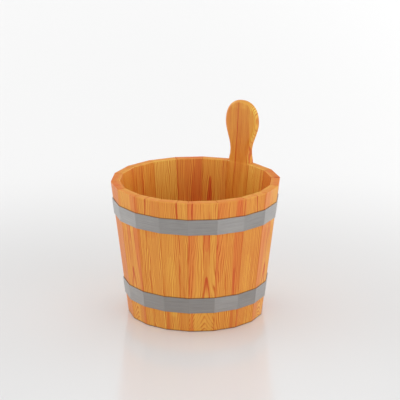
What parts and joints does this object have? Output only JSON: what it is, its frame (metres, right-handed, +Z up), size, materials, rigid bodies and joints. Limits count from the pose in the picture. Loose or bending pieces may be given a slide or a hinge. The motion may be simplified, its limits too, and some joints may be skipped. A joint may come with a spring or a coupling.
{
  "type": "sauna tub",
  "caption": "Coopered wooden sauna tub: flared staves round a boarded bottom, flat riveted steel hoops, and a long stave shaped into an upright handle.",
  "frame": {"origin": "on the tub's axis, at the level of the floor it stands on", "axes": "+Z up along the tub's axis; +Y towards the handle stave; +X to the right of someone facing the handle"},
  "size_m": [0.248, 0.2474, 0.2935],
  "materials": {
    "stave_wood": "oiled orange softwood with straight grain, satin",
    "bottom_wood": "oiled orange softwood, satin",
    "dowel_wood": "plain pale hardwood",
    "hoop_steel": "matt brushed strip, brushed along its length",
    "rivet_steel": "plain satin"
  },
  "bodies": {
    "root": {"stave_01": "stave_wood", "stave_02": "stave_wood", "stave_03": "stave_wood", "stave_04": "stave_wood", "stave_05": "stave_wood", "stave_06": "stave_wood", "stave_07": "stave_wood", "stave_08": "stave_wood", "stave_09": "stave_wood", "stave_10": "stave_wood", "stave_11": "stave_wood", "stave_12": "stave_wood", "stave_13": "stave_wood", "stave_14": "stave_wood", "stave_15": "stave_wood", "stave_16": "stave_wood", "stave_17": "stave_wood", "handle_stave": "stave_wood", "bottom_board_1": "bottom_wood", "bottom_board_2": "bottom_wood", "bottom_board_3": "bottom_wood", "bottom_board_4": "bottom_wood", "bottom_dowel_1": "dowel_wood", "bottom_dowel_2": "dowel_wood", "bottom_dowel_3": "dowel_wood", "bottom_dowel_4": "dowel_wood", "bottom_dowel_5": "dowel_wood", "bottom_dowel_6": "dowel_wood", "upper_hoop": "hoop_steel", "lower_hoop": "hoop_steel", "upper_hoop_rivet_1": "rivet_steel", "upper_hoop_rivet_2": "rivet_steel", "lower_hoop_rivet_1": "rivet_steel", "lower_hoop_rivet_2": "rivet_steel"}
  },
  "joints": []
}
